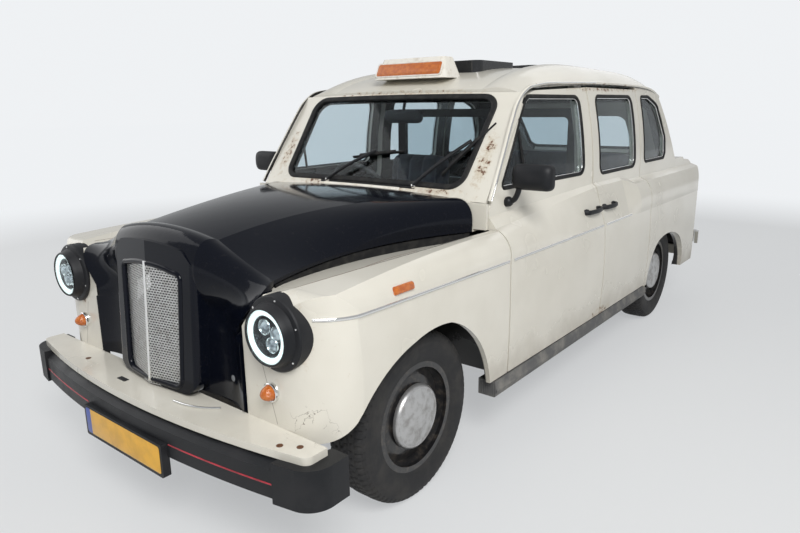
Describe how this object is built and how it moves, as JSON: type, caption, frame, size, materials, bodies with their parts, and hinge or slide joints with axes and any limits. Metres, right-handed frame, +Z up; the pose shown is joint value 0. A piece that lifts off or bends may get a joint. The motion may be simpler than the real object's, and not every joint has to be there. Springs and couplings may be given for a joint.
{
  "type": "taxi cab",
  "caption": "Four-door saloon taxi cab with a tall rounded cabin, long bonnet over a folded mesh grille, doors, bonnet and boot lid that open, and steered road wheels",
  "frame": {"origin": "bottom centre of the bounding box, on the ground under the tyres", "axes": "+Z up, -Y the front of the cab, +X its left side"},
  "size_m": [1.92, 4.58, 1.745],
  "materials": {
    "cream_paint": "cream-white gloss paint, weathered, rust at the edges",
    "black_paint": "black gloss paint",
    "bumper_plastic": "black moulded plastic",
    "bright_metal": "bright plated steel",
    "mesh_metal": "bright perforated sheet",
    "clear_glass": "clear safety glass",
    "lamp_glass": "clear moulded lens over a bright reflector",
    "amber_lens": "translucent amber plastic",
    "red_lens": "translucent red plastic",
    "sign_plastic": "white housing with an orange lens",
    "tinted_panel": "dark tinted panel",
    "tyre_rubber": "matt black tread rubber",
    "wheel_black": "black painted pressed steel with a bright cap",
    "chassis_black": "black chassis paint",
    "floor_paint": "dull painted floor with a rubber mat",
    "iron": "dark cast iron",
    "steel": "dull steel tube",
    "radiator_metal": "black painted finned core",
    "cabin_plastic": "black cabin moulding",
    "seat_cover": "dark vinyl cover"
  },
  "bodies": {
    "cab": {"centre_posts": "cream_paint", "chassis_frame": "chassis_black", "dashboard": "cabin_plastic", "driver_seat": "seat_cover", "engine": "iron", "exhaust": "steel", "fixed_glass": "clear_glass", "floor_pan": "floor_paint", "front_bumper": "bumper_plastic", "front_suspension": "chassis_black", "front_valance": "cream_paint", "front_wings": "cream_paint", "fuel_tank": "chassis_black", "headlamps": "lamp_glass", "indicators": "amber_lens", "partition": "cabin_plastic", "radiator": "radiator_metal", "rear_axle": "chassis_black", "rear_body": "cream_paint", "rear_bumper": "bright_metal", "rear_seat": "seat_cover", "roof_panel": "cream_paint", "roof_sign": "sign_plastic", "scuttle": "cream_paint", "sills": "chassis_black", "sunroofs": "tinted_panel", "tail_lamps": "red_lens", "windscreen_frame": "cream_paint"},
    "front_door_left": {"front_door_left": "cream_paint", "front_door_glass_left": "clear_glass", "front_door_fittings_left": "bumper_plastic"},
    "front_door_right": {"front_door_right": "cream_paint", "front_door_glass_right": "clear_glass", "front_door_fittings_right": "bumper_plastic"},
    "rear_door_left": {"rear_door_left": "cream_paint", "rear_door_glass_left": "clear_glass", "rear_door_handle_left": "bumper_plastic"},
    "rear_door_right": {"rear_door_right": "cream_paint", "rear_door_glass_right": "clear_glass", "rear_door_handle_right": "bumper_plastic"},
    "bonnet": {"bonnet": "black_paint", "grille": "mesh_metal"},
    "boot_lid": {"boot_lid": "cream_paint"},
    "knuckle_left": {"knuckle_left": "iron"},
    "knuckle_right": {"knuckle_right": "iron"},
    "front_wheel_left": {"front_wheel_left": "wheel_black", "front_tyre_left": "tyre_rubber"},
    "front_wheel_right": {"front_wheel_right": "wheel_black", "front_tyre_right": "tyre_rubber"},
    "rear_wheel_left": {"rear_wheel_left": "wheel_black", "rear_tyre_left": "tyre_rubber"},
    "rear_wheel_right": {"rear_wheel_right": "wheel_black", "rear_tyre_right": "tyre_rubber"},
    "steering_wheel": {"steering_wheel": "cabin_plastic"}
  },
  "joints": [
    {"name": "front_door_left_hinge", "type": "hinge", "parent": "cab", "child": "front_door_left", "pos_m": [0.865, -0.945, 0.77], "axis": [0.0785, 0, -0.9969], "range_deg": [0, 65]},
    {"name": "front_door_right_hinge", "type": "hinge", "parent": "cab", "child": "front_door_right", "pos_m": [-0.865, -0.945, 0.77], "axis": [0.0785, 0, 0.9969], "range_deg": [0, 65]},
    {"name": "rear_door_left_hinge", "type": "hinge", "parent": "cab", "child": "rear_door_left", "pos_m": [0.878, 0.85, 0.77], "axis": [-0.0785, 0, 0.9969], "range_deg": [0, 65]},
    {"name": "rear_door_right_hinge", "type": "hinge", "parent": "cab", "child": "rear_door_right", "pos_m": [-0.878, 0.85, 0.77], "axis": [-0.0785, 0, -0.9969], "range_deg": [0, 65]},
    {"name": "bonnet_hinge", "type": "hinge", "parent": "cab", "child": "bonnet", "pos_m": [0, -0.971, 1.124], "axis": [-1, 0, 0], "range_deg": [0, 50]},
    {"name": "boot_lid_hinge", "type": "hinge", "parent": "cab", "child": "boot_lid", "pos_m": [0, 1.858, 1.09], "axis": [1, 0, 0], "range_deg": [0, 70]},
    {"name": "steer_left", "type": "hinge", "parent": "cab", "child": "knuckle_left", "pos_m": [0.62, -1.52, 0.34], "axis": [0, 0, 1], "range_deg": [-40, 40]},
    {"name": "steer_right", "type": "hinge", "parent": "cab", "child": "knuckle_right", "pos_m": [-0.62, -1.52, 0.34], "axis": [0, 0, 1], "range_deg": [-40, 40]},
    {"name": "steering_wheel_turn", "type": "hinge", "parent": "cab", "child": "steering_wheel", "pos_m": [-0.37, -0.5, 1.015], "axis": [0, 0.848, 0.5299], "range_deg": [-560, 560]},
    {"name": "front_wheel_left_spin", "type": "hinge", "parent": "knuckle_left", "child": "front_wheel_left", "pos_m": [0.711, -1.52, 0.34], "axis": [1, 0, 0], "continuous": true},
    {"name": "front_wheel_right_spin", "type": "hinge", "parent": "knuckle_right", "child": "front_wheel_right", "pos_m": [-0.711, -1.52, 0.34], "axis": [1, 0, 0], "continuous": true},
    {"name": "rear_wheel_left_spin", "type": "hinge", "parent": "cab", "child": "rear_wheel_left", "pos_m": [0.711, 1.29, 0.34], "axis": [1, 0, 0], "continuous": true},
    {"name": "rear_wheel_right_spin", "type": "hinge", "parent": "cab", "child": "rear_wheel_right", "pos_m": [-0.711, 1.29, 0.34], "axis": [1, 0, 0], "continuous": true}
  ],
  "couplings": [
    {"joint": "steer_right", "follows": "steer_left", "ratio": 1},
    {"joint": "steering_wheel_turn", "follows": "steer_left", "ratio": 13}
  ]
}
